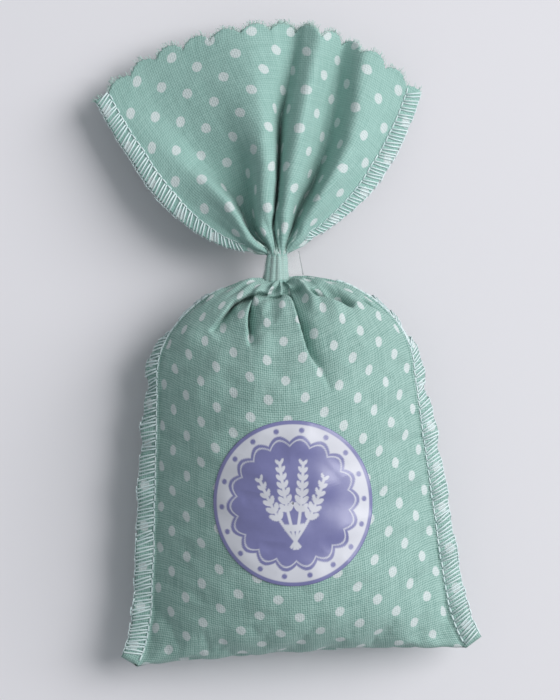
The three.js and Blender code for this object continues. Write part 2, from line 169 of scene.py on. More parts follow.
# Pouch: one strip of printed cotton folded at the bottom, sewn up both sides and stuffed with
# dried lavender until it is taut. It lies on its flattened back, and its mouth is drawn together
# into the taped neck, so the cloth above the shoulders stands in gathers and creases.
POUCH_LENGTH = 87.0
POUCH_FLAT_WIDTH = 78.0  # between the two seams
BASE_HALF_WIDTH = 35.3  # seam to middle, just above the bottom corners
SHOULDER_HALF_WIDTH = 29.6  # seam to middle, where the shoulders begin
SHOULDER_LENGTH = 22  # part of the length that the shoulders round off
EAR_WIDTH = 3.4  # how far each bottom corner stands out past the base
EAR_LENGTH = 5  # how far up the side a corner fades
FRONT_CROWN = 17.0  # bulge of the front above the seams
BACK_CROWN = 16.5  # bulge of the back below the seams, before the surface flattens it
NOSE_LENGTH = 24  # part of the length over which the bottom end rounds off
CROWN_FALL_LENGTH = 42  # part of the length over which the crown falls to the mouth
BASE_SEAM_HEIGHT = 11.5  # height of the bottom fold
NECK_HEIGHT = 14.5  # height of the neck's middle line
MOUTH_RADIUS = 2.9
LOWEST = 0.4  # height of the cloth's middle where it lies on the surface
ACROSS, ALONG = 168, 216  # steps in the cloth's grid, for the front and again for the back
CREASE_EDGE = 0.2
# Creases in the front, where the gathered cloth is tucked under itself: points (x, y) with the
# overhanging cloth on the right of the path, the depth at each point, and how far the tuck reaches.
CREASES = [
    ([(-0.7, 43.7), (-1.3, 42.8), (-3.7, 42.2), (-6.8, 42.1), (-9.6, 40.9), (-11.3, 40.3), (-12.9, 38.2),
      (-15.1, 35.4), (-17, 33.6)], [1.6, 3.4, 5.0, 7.0, 10.0, 11.0, 10.0, 5.0, 0], 1.1),
    ([(0.7, 42.1), (-0.2, 41.3), (-2.6, 40.8), (-4.8, 40.9)], [1.2, 4.6, 4.0, 0], 0.7),
    ([(-7.0, 41.4), (-7.7, 38.3), (-8.1, 34.4), (-8.0, 29.5)], [1.2, 10.5, 9.0, 0], 1.2),
    ([(0.6, 43.3), (0.7, 42.2), (2.2, 40.5), (3.0, 38.0), (4.2, 33.2), (5.6, 28.0), (7.5, 24.0),
      (9.8, 18.5)], [1.2, 3.0, 8.0, 9.5, 10.0, 7.0, 3.8, 0], 1.5),
    ([(5.0, 42.4), (2.9, 42.7), (1.5, 43.9)], [0, 3.4, 1.2], 0.6),
    ([(6.9, 42.2), (8.2, 40.5), (11.0, 39.8), (13.8, 38.6), (16.5, 37.2)], [1.6, 9.0, 11.0, 8.5, 0], 1.1),
    ([(18.5, 39.7), (20.1, 38.0), (23.3, 36.0), (25.5, 34.6)], [0, 4.5, 4.5, 0], 0.8),
]
# How far the shoulders stand up beside the neck, by x.
SHOULDER_RISE = (
    [-25, -14, -9.5, -7, -4.5, -2.5, 0, 1.5, 3.5, 5.4, 8, 14, 20, 27],
    [0, 0.95, 1.3, 1.6, 1.5, 0.9, 0.7, 0.8, 1.4, 1.5, 1.2, 1.1, 0.7, 0],
)


def ease(value, low, high):
    t = np.clip((value - low) / (high - low), 0, 1)
    return t * t * (3 - 2 * t)


def round_end(share, power):
    """A quarter of a rounded end: 0 where share is 0 or less, 1 where it is 1 or more."""
    return (1 - (1 - np.clip(share, 0, 1)) ** power) ** (1 / power)


def half_width(along):
    taper = np.clip(along / (POUCH_LENGTH - SHOULDER_LENGTH), 0, 1)
    side = BASE_HALF_WIDTH + (SHOULDER_HALF_WIDTH - BASE_HALF_WIDTH) * taper
    side += EAR_WIDTH * np.exp(-along / EAR_LENGTH)
    return MOUTH_RADIUS + (side - MOUTH_RADIUS) * round_end((POUCH_LENGTH - along) / SHOULDER_LENGTH, 2.15)


def crown(along, height):
    fall = round_end((POUCH_LENGTH - along) / CROWN_FALL_LENGTH, 1.75)
    return (MOUTH_RADIUS + (height - MOUTH_RADIUS) * fall) * round_end(along / NOSE_LENGTH, 2.1)


def run_of(line):
    """Distance along a line of points, at each point."""
    return np.concatenate([[0], np.cumsum(np.linalg.norm(np.diff(line, axis=0), axis=1))])


def at_distances(line, wanted):
    """Points at given distances along a line of points."""
    run = run_of(line)
    return np.stack([np.interp(wanted, run, line[:, i]) for i in range(line.shape[1])], axis=1)


def equal_steps(line, count):
    return at_distances(line, np.linspace(0, run_of(line)[-1], count))


# Rows lie closer together towards the mouth, where the cloth is creased.
share = np.linspace(0, 1, 400)
rows_up_to = np.cumsum(1 + 1.2 * ease(share, 0.6, 0.75))
row_share = np.interp(np.linspace(rows_up_to[0], rows_up_to[-1], ALONG + 1), rows_up_to, share)


def pouch_side(face):
    """One side of the stuffed pouch as rows of points, from the bottom fold to inside the neck."""
    bulge, full = (FRONT_CROWN, 0.95) if face > 0 else (BACK_CROWN, 0.8)
    rows = []
    for along in POUCH_LENGTH * (0.5 - 0.5 * np.cos(np.linspace(0, np.pi, 400))):
        width, height = half_width(along), crown(along, bulge)
        shoulders = ease(along, POUCH_LENGTH - SHOULDER_LENGTH, POUCH_LENGTH)
        power = full * (1 - shoulders) + 0.5 * shoulders
        x = width * np.sin(np.linspace(-np.pi / 2, np.pi / 2, 161))
        seam = BASE_SEAM_HEIGHT + (NECK_HEIGHT - BASE_SEAM_HEIGHT) * ease(along, 0, POUCH_LENGTH)
        z = seam + face * height * np.clip(1 - (x / width) ** 2, 0, 1) ** power
        sag = -1.4 * (np.abs(x) / 38) ** 3 * math.exp(-along / 6)  # the corners hang below the fold
        y = along - POUCH_LENGTH / 2 + 0.8 * math.exp(-along / 6) + sag
        y = y + np.interp(x, *SHOULDER_RISE) * ease(y, 34, 42)
        rows.append(equal_steps(np.stack([x, y, np.maximum(z, LOWEST)], axis=1), ACROSS + 1))
    mouth = rows[-1] - [0, 0, NECK_HEIGHT]
    for y in (45.2, 46.6, 48.0):
        rows.append(mouth * [0.75, 0, 0.75] + [-0.8, y, NECK_HEIGHT])
    lines = np.moveaxis(np.array(rows), 1, 0)
    return np.stack([at_distances(line, run_of(line)[-1] * row_share) for line in lines], axis=1)


def smooth_through(places, values, at):
    """A smooth curve through points, which doesn't swing past them."""
    step = np.diff(places)
    rise = np.diff(values) / step
    slope = np.zeros(len(values))
    for i in range(1, len(rise)):
        if rise[i] * rise[i - 1] > 0:
            slope[i] = 2 / (1 / rise[i] + 1 / rise[i - 1])
    k = np.clip(np.searchsorted(places, at, side="right") - 1, 0, len(step) - 1)
    t = (at - places[k]) / step[k]
    low, high = values[k], values[k + 1]
    bend_low, bend_high = slope[k] * step[k], slope[k + 1] * step[k]
    return (
        low * (1 + 2 * t) * (1 - t) ** 2 + bend_low * t * (1 - t) ** 2
        + high * t * t * (3 - 2 * t) + bend_high * t * t * (t - 1)
    )


def unit(vectors):
    return vectors / np.maximum(np.linalg.norm(vectors, axis=-1, keepdims=True), 1e-9)


def surface_normals(side):
    """Unit normals of a grid of points, to the left of its rows' direction."""
    return unit(np.cross(np.gradient(side, axis=1), np.gradient(side, axis=0)))


def crease_move(side, path, depths, reach):
    """How a crease moves the cloth: on its left the cloth dips and goes under, and on its right it
    rises a little and hangs over."""
    x, y = side[..., 0], side[..., 1]
    marks = run_of(np.array(path))
    fine = np.linspace(0, marks[-1], 5 * len(path))
    path = np.stack([smooth_through(marks, np.array(axis, float), fine) for axis in zip(*path)], axis=1)
    depths = np.interp(fine, marks, depths)
    nearest = np.full(x.shape, 1e9)
    across, depth = np.zeros(x.shape), np.zeros(x.shape)
    to_right = np.zeros((*x.shape, 3))
    for a, b, deep_a, deep_b in zip(path[:-1], path[1:], depths[:-1], depths[1:]):
        way = b - a
        t = np.clip(((x - a[0]) * way[0] + (y - a[1]) * way[1]) / (way @ way), 0, 1)
        dx, dy = x - a[0] - t * way[0], y - a[1] - t * way[1]
        off = np.hypot(dx, dy)
        closer = off < nearest
        across = np.where(closer, off * np.sign(way[1] * dx - way[0] * dy), across)
        depth = np.where(closer, deep_a + (deep_b - deep_a) * t, depth)
        to_right[closer] = unit(np.array([way[1], -way[0], 0]))
        nearest = np.minimum(nearest, off)
    hangs = 0.5 + 0.5 * np.tanh(across / CREASE_EDGE)
    over = (hangs * np.exp(-np.maximum(across, 0) / 1.6))[..., None]
    under = ((1 - hangs) * np.exp(np.minimum(across, 0) / reach))[..., None]
    up = 0.35 * surface_normals(side) + [0, 0, 0.65]
    return depth[..., None] * (up * (0.04 * over - under) + to_right * (0.12 * under - 0.08 * over))


front, back = pouch_side(1), pouch_side(-1)
pouch_flat_length = np.mean([run_of(line)[-1] for line in np.moveaxis(front, 1, 0)])
u = np.linspace(-POUCH_FLAT_WIDTH / 2, POUCH_FLAT_WIDTH / 2, ACROSS + 1)
v = pouch_flat_length * row_share
flat_u, flat_v = np.meshgrid(u, v)
to_seam = POUCH_FLAT_WIDTH / 2 - np.abs(flat_u)
from_seam = ease(to_seam, 0, 5)
for side, face, shift, deepest in ((front, 1, 0.0, 0.28), (back, -1, 2.1, 0.45)):
    # Folds gathered into the mouth: narrow beside the neck, wider and fainter below it.
    row_width = np.array([run_of(row)[-1] for row in side])[:, None]
    fold = np.cos(2 * np.pi * (flat_u / 6.6 + 0.3 * np.sin(flat_u / 8 + shift) + shift))
    gathers = ease(flat_v, v[-1] - 32, v[-1] - 10) * np.minimum(0.2 * row_width / 12, deepest) * fold
    # Lumps of the filling, 9 to 12 mm apart, that show through the cloth.
    lumps = sum(
        0.16 * np.sin(flat_u * p + flat_v * q + k + shift)
        for k, (p, q) in enumerate(((0.5, 0.21), (-0.33, 0.44), (0.62, -0.35), (0.15, 0.6)))
    )
    # Short puckers where the seam has drawn the cloth up.
    phase = 2 * np.pi * flat_v / 7.5 + 1.7 * np.sin(flat_v / 11) + shift + np.sign(flat_u)
    puckers = 0.35 * np.exp(-to_seam / 5) * np.sin(phase)
    side += surface_normals(side) * ((gathers + lumps + puckers) * from_seam)[..., None] * face
back[0], back[:, 0], back[:, -1] = front[0], front[:, 0], front[:, -1]
back[..., 2] = np.maximum(back[..., 2], LOWEST)


def quads(grid, closed=False):
    """Faces between the rows and columns of a grid of point numbers, and from last to first column."""
    if closed:
        grid = np.hstack([grid, grid[:, :1]])
    return np.stack([grid[:-1, :-1], grid[:-1, 1:], grid[1:, 1:], grid[1:, :-1]], axis=2).reshape(-1, 4)


TRIAL_SCALE = 10  # the cloth is simulated at ten times its size
TRIAL_FRAMES = range(1, 21)
FARTHEST_MOVE = 3.0


def settled(front, back):
    """The two sides after the cloth has settled under the filling's pressure, with the neck and
    seams held and the surface below."""
    rows, columns = front.shape[:2]
    grid = np.arange(rows * columns).reshape(rows, columns)
    under = grid.copy()
    under[1:, 1:-1] = np.arange((rows - 1) * (columns - 2)).reshape(rows - 1, columns - 2) + grid.size
    points = np.concatenate([front.reshape(-1, 3), back[1:, 1:-1].reshape(-1, 3)])
    faces = np.stack([quads(grid), quads(under)[:, [0, 3, 2, 1]]], axis=1).reshape(-1, 4)
    trial = mesh_object("pouch_trial", points * TRIAL_SCALE, faces)
    held = trial.vertex_groups.new(name="held")
    held.add(np.concatenate([grid[:, 0], grid[:, -1], grid[0]]).tolist(), 0.9, "REPLACE")
    held.add(np.concatenate([grid[-11:].ravel(), under[-11:].ravel()]).tolist(), 1.0, "REPLACE")
    cloth = trial.modifiers.new("cloth", "CLOTH")
    for name, value in dict(
        quality=6, mass=0.3, tension_stiffness=30, compression_stiffness=30, shear_stiffness=8,
        bending_stiffness=0.4, air_damping=2, use_pressure=True, uniform_pressure_force=4,
        shrink_min=-0.012, vertex_group_mass="held",
    ).items():
        setattr(cloth.settings, name, value)
    cloth.settings.effector_weights.gravity = 0
    cloth.collision_settings.distance_min = 0.003
    floor.modifiers.new("contact", "COLLISION")
    floor.collision.thickness_outer = 0.002
    for step in TRIAL_FRAMES:
        scene.frame_set(step)
    shaped = trial.evaluated_get(bpy.context.evaluated_depsgraph_get()).data
    after = np.zeros(len(points) * 3, np.float32)
    shaped.vertices.foreach_get("co", after)
    move = after.reshape(-1, 3).astype(float) / TRIAL_SCALE / MM - points
    far = np.linalg.norm(move, axis=1, keepdims=True)
    after = points + move * np.minimum(1, FARTHEST_MOVE / np.maximum(far, 1e-9))
    scene.frame_set(1)
    floor.modifiers.clear()
    bpy.data.objects.remove(trial)
    return after[grid], after[under]


def finer(side):
    """A grid with a point added half way along each step, on a smooth curve through its points."""
    for axis in (0, 1):
        side = np.moveaxis(side, axis, 0)
        middle = (side[:-1] + side[1:]) / 2
        middle[1:-1] = (9 * (side[1:-2] + side[2:-1]) - side[:-3] - side[3:]) / 16
        woven = np.empty((2 * len(side) - 1, *side.shape[1:]))
        woven[::2], woven[1::2] = side, middle
        side = np.moveaxis(woven, 0, axis)
    return side


rough_front, rough_back = front[::2, ::2], back[::2, ::2]
shaped_front, shaped_back = settled(rough_front, rough_back)
front = front + finer(shaped_front - rough_front)
back = back + finer(shaped_back - rough_back)
back[..., 2] = np.maximum(back[..., 2], 0.3)
# Broad soft folds run on from the gathers down the middle of the front.
x, y = front[..., 0], front[..., 1]
middle = ease(y, 4, 26) * (1 - ease(y, 36, 42)) * (1 - ease(np.abs(x + 1.5), 11, 18))
folds = 0.25 * middle * np.cos(2 * np.pi * (x - 4.3) / 11.5)
front = front + surface_normals(front) * folds[..., None]
creases = sum(crease_move(front, *crease) for crease in CREASES) * from_seam[..., None]
for axis in (0, 1):  # the cloth is too stiff for a sharper edge
    creases = (np.roll(creases, 1, axis) + 2 * creases + np.roll(creases, -1, axis)) / 4
smooth_front, front = front, front + creases
tucked = ease(np.linalg.norm(creases, axis=2), 2.5, 5.0)  # where the cloth is tucked into the creases; the print is left off there, hiding dots stretched over the crease walls and darkening the creases as painted shade

# The seam allowances outside the two side seams are part of the same cloth. They lie almost level
# beside the lower half of the pouch and turn down and back round the shoulders.
ALLOWANCE = 4.5
SEAM_HALF = 0.45  # half of the two layers
ALLOWANCE_STEPS = range(1, 5)
TURN_DOWN = {  # degrees below level, by the y of the seam
    -1: ([-44, -20, -5, 5, 16, 26, 31, 36, 44], [0, 8, 16, 24, 43, 52, 70, 84, 88]),
    1: ([-44, -20, 0, 10, 19.5, 28, 36, 44], [0, 20, 30, 40, 55, 70, 84, 88]),
}


def allowance_frame(side):
    """The seam line of a side (-1 left, 1 right), and at each point the way out along the seam
    allowance, its upper normal and its width."""
    line = front[:, 0 if side < 0 else -1]
    tangent = unit(np.gradient(line, axis=0))
    level = unit(np.cross(tangent, [0, 0, 1.0]) * side)
    up = unit(np.cross(level, tangent) * side)
    up = up * np.sign(up[:, 2:3])
    run = run_of(line)
    wave = 7 * np.sin(run * 0.42 + side) + 5 * np.sin(run * 0.9 + 2 * side)
    angle = np.radians(np.interp(line[:, 1], *TURN_DOWN[side]) + wave * ease(run, 4, 14))[:, None]
    out = np.cos(angle) * level - np.sin(angle) * up
    normal = np.cos(angle) * up + np.sin(angle) * level
    width = 0.2 + (ALLOWANCE - 0.2) * ease(run[-1] - run, 9, 24)
    return line, out, normal, width


seams = {side: allowance_frame(side) for side in (-1, 1)}
ring, ring_uv, names = [], [], []


def add_line(name, points, across, along, dots_off_in_creases=0.0):
    """Adds one line of the pouch's cloth, from the bottom fold to the neck."""
    names.append(name)
    ring.append(points)
    ring_uv.append(np.stack(np.broadcast_arrays(across, along, dots_off_in_creases), axis=1))


def add_panel(panel, face, columns):
    for c in columns:
        sewn = seams[1 if c else -1][2] * SEAM_HALF * face if c in (0, ACROSS) else 0.0
        add_line(("panel", c), panel[:, c] + sewn, u[c], v * face, tucked[:, c] if face > 0 else 0.0)


def add_allowance(side, face, steps):
    line, out, normal, width = seams[side]
    for k in steps:
        points = line + out * (width * k / len(steps))[:, None] + normal * SEAM_HALF * face
        add_line((side, k), points, side * (POUCH_FLAT_WIDTH / 2 + ALLOWANCE * k / len(steps)), v * face)


add_panel(front, 1, range(ACROSS + 1))
add_allowance(1, 1, ALLOWANCE_STEPS)
add_allowance(1, -1, ALLOWANCE_STEPS[::-1])
add_panel(back, -1, range(ACROSS, -1, -1))
add_allowance(-1, -1, ALLOWANCE_STEPS)
add_allowance(-1, 1, ALLOWANCE_STEPS[::-1])
index = np.arange((ALONG + 1) * len(names)).reshape(ALONG + 1, len(names))
first = {}
for i, name in enumerate(names):  # front and back are one cloth at the bottom fold
    index[0, i] = first.setdefault(name, index[0, i])
pouch_faces = [list(dict.fromkeys(face)) for face in quads(index, closed=True).tolist()]
pouch_faces.append(index[-1].tolist())
used = np.unique(np.concatenate(pouch_faces))
renumbered = np.full(index.size, -1)
renumbered[used] = np.arange(len(used))

# Printed cotton: a plain weave of about 20 threads in 10 mm, dyed sea green, with white dots
# printed on it. It is matt and a little fuzzy; the holes between the threads are coloured darker
# than the thread tops, painted shade.
THREAD_PITCH = 0.52
DOT_PITCH = 9.3  # along a row; the rows between are staggered by half of it
DOT_RADIUS = 1.15


def cotton_material(name, cloth_hex, hole_shade_hex, dot_hex, dot_strength, openness):
    material, tree, shader = new_material(
        name, in_Roughness=0.88, in_Specular_IOR_Level=0.25, in_Sheen_Weight=0.12, in_Sheen_Roughness=0.5
    )
    number, vector, noise = "Math", "VectorMath", "TexNoise"
    place = node(tree, "UVMap", uv_map="cloth")
    tucked = node(tree, "Attribute", attribute_name="tucked").outputs["Fac"]
    wobble = node(tree, noise, {"Vector": place}, in_Scale=0.9, in_Detail=3.0)
    distances = []
    for shift in (0.0, 0.5):
        cell = node(
            tree, vector, {0: place}, operation="MULTIPLY_ADD", in_1=[1 / DOT_PITCH] * 3, in_2=[shift] * 3
        )
        cell = node(tree, vector, {0: cell}, operation="FRACTION")
        off = node(
            tree, vector, {0: cell}, operation="MULTIPLY_ADD",
            in_1=(DOT_PITCH, DOT_PITCH, 0), in_2=(-DOT_PITCH / 2, -DOT_PITCH / 2, 0),
        )
        distances.append(node(tree, vector, {0: off}, operation="LENGTH").outputs["Value"])
    nearest = node(tree, number, dict(enumerate(distances)), operation="MINIMUM")
    ragged = node(tree, number, {0: wobble, 2: nearest}, operation="MULTIPLY_ADD", in_1=0.5)
    dot = node(
        tree, "MapRange", {"Value": ragged}, interpolation_type="SMOOTHSTEP",
        in_1=DOT_RADIUS + 0.42, in_2=DOT_RADIUS + 0.1, in_3=0.0, in_4=dot_strength,
    )
    # Each thread goes over one and under the next, and none is quite straight.
    wander = node(tree, noise, {"Vector": place}, in_Scale=0.45, in_Detail=1.0).outputs["Color"]
    woven = node(tree, vector, {0: wander, 2: place}, operation="MULTIPLY_ADD", in_1=[0.5] * 3)
    turns = node(tree, vector, {0: woven}, operation="SCALE", in_Scale=math.pi / THREAD_PITCH)
    waves = node(tree, vector, {0: turns}, operation="SINE")
    humps = node(tree, vector, {0: waves}, operation="ABSOLUTE")
    raised = node(tree, vector, {0: humps}, operation="DOT_PRODUCT", in_1=(0.5, 0.5, 0)).outputs["Value"]
    both = node(tree, "SeparateXYZ", {"Vector": waves}).outputs
    over = node(tree, number, {0: both[0], 1: both[1]}, operation="MULTIPLY")
    # Thicker and thinner yarns, seen as faint streaks both ways.
    slubs = []
    for size in ((2.2, 0.12, 1), (0.12, 2.2, 1)):
        stretched = node(tree, "Mapping", {"Vector": place}, in_Scale=size)
        slubs.append(node(tree, noise, {"Vector": stretched}, in_Scale=1.0, in_Detail=2.0))
    uneven = node(tree, number, dict(enumerate(slubs)), operation="ADD")
    slub = 0.3 + 0.32 * openness
    level = 0.677 - 0.64 * openness - slub
    streaks = node(tree, number, {0: uneven}, operation="MULTIPLY_ADD", in_1=slub, in_2=level)
    shade = node(tree, number, {0: raised, 2: streaks}, operation="MULTIPLY_ADD", in_1=openness)
    # Painted shade: a darker hole colour between the threads, the lighter cloth colour on their tops.
    dyed = node(
        tree, "Mix", {"Factor": shade}, data_type="RGBA",
        in_6=linear(hole_shade_hex), in_7=linear(cloth_hex),
    )
    cover = node(tree, number, {0: raised}, operation="MULTIPLY_ADD", in_1=0.5, in_2=0.56)
    # Partly painted shade: no white dots where the cloth is tucked into creases, so the creases look darker.
    cover = node(tree, number, {0: cover, 1: tucked}, operation="SUBTRACT", use_clamp=True)
    ink = node(tree, number, {0: dot, 1: cover}, operation="MULTIPLY")
    printed = node(
        tree, "Mix", {"Factor": ink, 6: dyed.outputs[2]}, data_type="RGBA", in_7=linear(dot_hex)
    )
    tree.links.new(printed.outputs[2], shader.inputs["Base Color"])
    lumps = node(tree, noise, {"Vector": place}, in_Scale=0.22, in_Detail=2.0)
    lumps = node(tree, number, {0: lumps}, operation="MULTIPLY", in_1=0.4)
    weave = node(tree, number, {0: over, 2: raised}, operation="MULTIPLY_ADD", in_1=0.35)
    weave = node(tree, number, {0: weave, 2: lumps}, operation="MULTIPLY_ADD", in_1=0.06)
    height = node(tree, number, {0: uneven, 2: weave}, operation="MULTIPLY_ADD", in_1=0.03)
    bump = node(tree, "Bump", {"Height": height}, in_Strength=0.85, in_Distance=MM)
    tree.links.new(bump.outputs[0], shader.inputs["Normal"])
    return material


# The holes between the threads open where the filling pulls the cloth taut; their painted shade is deeper.
taut_cotton = cotton_material("printed_cotton_taut", "#a2bfb8", "#507c74", "#cdd4d5", 0.93, 1.0)
cotton = cotton_material("printed_cotton", "#a1c2bb", "#648f87", "#cdd4d5", 0.93, 0.5)
cotton_inside = cotton_material("printed_cotton_wrong_side", "#bad0ca", "#93b2aa", "#dfe4e3", 0.35, 0.5)

points = np.stack(ring, axis=1).reshape(-1, 3)[used]
uv = np.stack(ring_uv, axis=1).reshape(-1, 3)[used]
pouch = mesh_object(
    "stuffed_pouch", points, [renumbered[face] for face in pouch_faces], [taut_cotton], uv=uv[:, :2]
)
# Painted shade in part: where the cloth is tucked into creases, the shader leaves the dots off.
dots_off_in_creases = pouch.data.attributes.new("tucked", "FLOAT", "POINT")
dots_off_in_creases.data.foreach_set("value", uv[:, 2].astype(np.float32))
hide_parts("pouch_cloth")
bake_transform(pouch)

# Lavender filling: dried lavender flowers, loose in the pouch and packed by the stuffing into one
# heap. Only their lumps show through the cloth.
BUD_LENGTH = 4.2
BUD_WIDTH = 1.9
BUD_RIBS = 8
BUD_PROFILE = [(0.0, 0.25), (0.2, 0.8), (0.5, 1.0), (0.8, 0.75), (1.0, 0.3)]  # share of length, of width
BUDS_PER_SQUARE_METRE = 85000.0
HEAP_INSET = 4.0  # heap's surface, in from the cloth


def tube(rows, count):
    """Faces of a tube made of rings of points, with both ends closed."""
    grid = np.arange(rows * count).reshape(rows, count)
    return [*quads(grid, closed=True), grid[0, ::-1], grid[-1]]


def plain_mesh(piece):
    """Turns a piece and its modifiers into a plain mesh."""
    graph = bpy.context.evaluated_depsgraph_get()
    whole = piece.evaluated_get(graph)
    mesh = bpy.data.meshes.new_from_object(whole, preserve_all_data_layers=True, depsgraph=graph)
    piece.modifiers.clear()
    piece.data = mesh
    mesh.name = piece.name
    return piece


def new_tree(name, **inputs):
    """A Geometry Nodes tree with named inputs; returns it, what they give and their identifiers."""
    tree = bpy.data.node_groups.new(name, "GeometryNodeTree")
    keys = {
        key: tree.interface.new_socket(key, in_out="INPUT", socket_type="NodeSocket" + kind).identifier
        for key, kind in inputs.items()
    }
    tree.interface.new_socket("Result", in_out="OUTPUT", socket_type="NodeSocketGeometry")
    return tree, node(tree, "NodeGroupInput").outputs, keys


def set_copies(tree, given, points, links, also=None):
    """Ends a tree: copies of a shape on points, and a mesh besides, as one mesh with one finish."""
    shape = node(tree, "GeometryNodeObjectInfo", {"Object": given["Shape"]}).outputs["Geometry"]
    placed = node(tree, "GeometryNodeInstanceOnPoints", {"Points": points, "Instance": shape, **links})
    whole = node(tree, "GeometryNodeRealizeInstances", {"Geometry": placed})
    if also:
        whole = node(tree, "GeometryNodeJoinGeometry", {0: whole})
        tree.links.new(also, whole.inputs[0])
    finished = node(tree, "GeometryNodeSetMaterial", {"Geometry": whole, "Material": given["Finish"]})
    node(tree, "NodeGroupOutput", {0: finished})


def run_tree(piece, tree, keys, **values):
    """Runs a Geometry Nodes tree on a piece, which becomes a plain mesh."""
    nodes = piece.modifiers.new(tree.name, "NODES")
    nodes.node_group = tree
    for key, value in values.items():
        nodes[keys[key]] = value
    return plain_mesh(piece)


# Dried lavender: grey violet buds with paler, dusty patches and a rough grain.
dried, tree, shader = new_material("dried_lavender", in_Roughness=0.9)
place = node(tree, "TexCoord").outputs["Object"]
patches = node(tree, "TexNoise", {"Vector": place}, in_Scale=260.0, in_Detail=3.0)
hues = node(tree, "ValToRGB", {"Fac": patches})
for stop, position, colour in zip(hues.color_ramp.elements, (0.3, 0.7), ("#4a4263", "#8b84a3")):
    stop.position = position
    stop.color = linear(colour)
tree.links.new(hues.outputs[0], shader.inputs["Base Color"])
grain = node(tree, "TexNoise", {"Vector": place}, in_Scale=2400.0, in_Detail=4.0)
rough = node(tree, "Bump", {"Height": grain}, in_Strength=0.5, in_Distance=0.3 * MM)
tree.links.new(rough.outputs[0], shader.inputs["Normal"])

# One bud is a ribbed, pointed barrel. Geometry Nodes cover the heap with turned copies of it.
points = []
for share, wide in BUD_PROFILE:
    for k in range(BUD_RIBS):
        radius, turn = BUD_WIDTH / 2 * wide * (1 + 0.14 * (-1) ** k), math.tau * k / BUD_RIBS
        points.append((radius * math.cos(turn), radius * math.sin(turn), BUD_LENGTH * (share - 0.5)))
bud = mesh_object("bud", points, tube(len(BUD_PROFILE), BUD_RIBS))
tree, given, keys = new_tree(
    "heap_of_buds", Surface="Geometry", Shape="Object", Finish="Material", Density="Float", Seed="Int"
)
spots = node(
    tree, "GeometryNodeDistributePointsOnFaces",
    {"Mesh": given["Surface"], "Density": given["Density"], "Seed": given["Seed"]},
)
lean = node(
    tree, "FunctionNodeRandomValue", {"Seed": given["Seed"]}, data_type="FLOAT_VECTOR",
    in_0=(1.0, -0.6, 0.0), in_1=(2.1, 0.6, math.tau),
)
turned = node(
    tree, "FunctionNodeRotateRotation",
    {"Rotation": spots.outputs["Rotation"], "Rotate By": lean}, rotation_space="LOCAL",
)
set_copies(tree, given, spots.outputs["Points"], {"Rotation": turned}, also=given["Surface"])

rows = np.linspace(*np.searchsorted(v, [8, v[-1] - 27]), 26).astype(int)
columns = np.linspace(12, ACROSS - 12, 19).astype(int)
some = np.ix_(rows, columns)
inset = HEAP_INSET + 3 * ease(v[rows], v[-1] - 48, v[-1] - 27)[:, None, None]
upper = smooth_front[some] - surface_normals(smooth_front)[some] * inset
lower = back[some] + surface_normals(back)[some] * inset
lower[..., 2] = np.maximum(lower[..., 2], HEAP_INSET)
heap = np.concatenate([upper, lower[:, ::-1]], axis=1)
filling = mesh_object("lavender_heap", heap.reshape(-1, 3), tube(*heap.shape[:2]), [dried])
run_tree(filling, tree, keys, Shape=bud, Finish=dried, Density=BUDS_PER_SQUARE_METRE, Seed=11)
bpy.data.objects.remove(bud)
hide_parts("lavender_filling")
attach(filling, "pouch")

# Label: a round self-adhesive sticker of coated paper on the front of the pouch, printed in purple
# and white. It follows the crown of the cloth and bridges its small hollows.
LABEL_RADIUS = 19.0
LABEL_CENTRE = (0.0, -6.9)
LABEL_BEND = 41.0  # radius of the pouch's crown, left to right
LABEL_RINGS, LABEL_SECTORS = 76, 432
LABEL_PAPER = 0.14
LABEL_GAP = 0.1  # glue, and the cloth's fuzz
SCALLOPS = 18
SOFT = 0.14  # half of the print's soft edge
STALKS = [  # root, tip, bend and pairs of buds
    ((1.2, -10.2), (-7.6, 6.6), 0.9, 6),
    ((0.5, -10.6), (-2.6, 10.4), 0.5, 7),
    ((-0.3, -10.6), (2.9, 10.0), -0.5, 7),
    ((-1.1, -10.2), (7.8, 6.2), -0.9, 6),
]
radius = np.linspace(0, LABEL_RADIUS, LABEL_RINGS + 1)[1:, None]
sector = (np.arange(LABEL_SECTORS) * math.tau / LABEL_SECTORS)[None, :]
flat_label = np.stack([radius * np.sin(sector), radius * np.cos(sector)], axis=2).reshape(-1, 2)
x, y = np.concatenate([[[0, 0]], flat_label]).T
over_x = LABEL_BEND * np.sin(x / LABEL_BEND) + LABEL_CENTRE[0]
over_y = y + LABEL_CENTRE[1]
cloth = BVHTree.FromObject(pouch, bpy.context.evaluated_depsgraph_get())
above = [Vector((a * MM, b * MM, 0.1)) for a, b in zip(over_x, over_y)]
lies = np.array([cloth.ray_cast(start, Vector((0, 0, -1)))[0].z / MM for start in above])
grid = lies[1:].reshape(LABEL_RINGS, LABEL_SECTORS)
for _ in range(12):  # paper bridges the small hollows of the cloth
    bridged = np.roll(grid, 3, 1) + np.roll(grid, -3, 1) + np.roll(grid, 1, 0) + np.roll(grid, -1, 0)
    bridged = bridged / 4
    bridged[0], bridged[-1] = grid[0], grid[-1]
    grid = np.maximum(grid, 0.5 * grid + 0.5 * bridged)
lies = np.concatenate([[grid[0].mean()], grid.ravel()])
label_top = np.stack([over_x, over_y, lies + LABEL_GAP + LABEL_PAPER], axis=1)
number = 1 + np.arange(grid.size).reshape(grid.shape)
top_faces = [(b, a, 0) for a, b in zip(number[0], np.roll(number[0], -1))]
top_faces += quads(number, closed=True)[:, [0, 3, 2, 1]].tolist()
under_faces = [[len(x) + i for i in reversed(face)] for face in top_faces]
edge_faces = quads(np.stack([number[-1], len(x) + number[-1]]), closed=True)[:, [0, 3, 2, 1]].tolist()


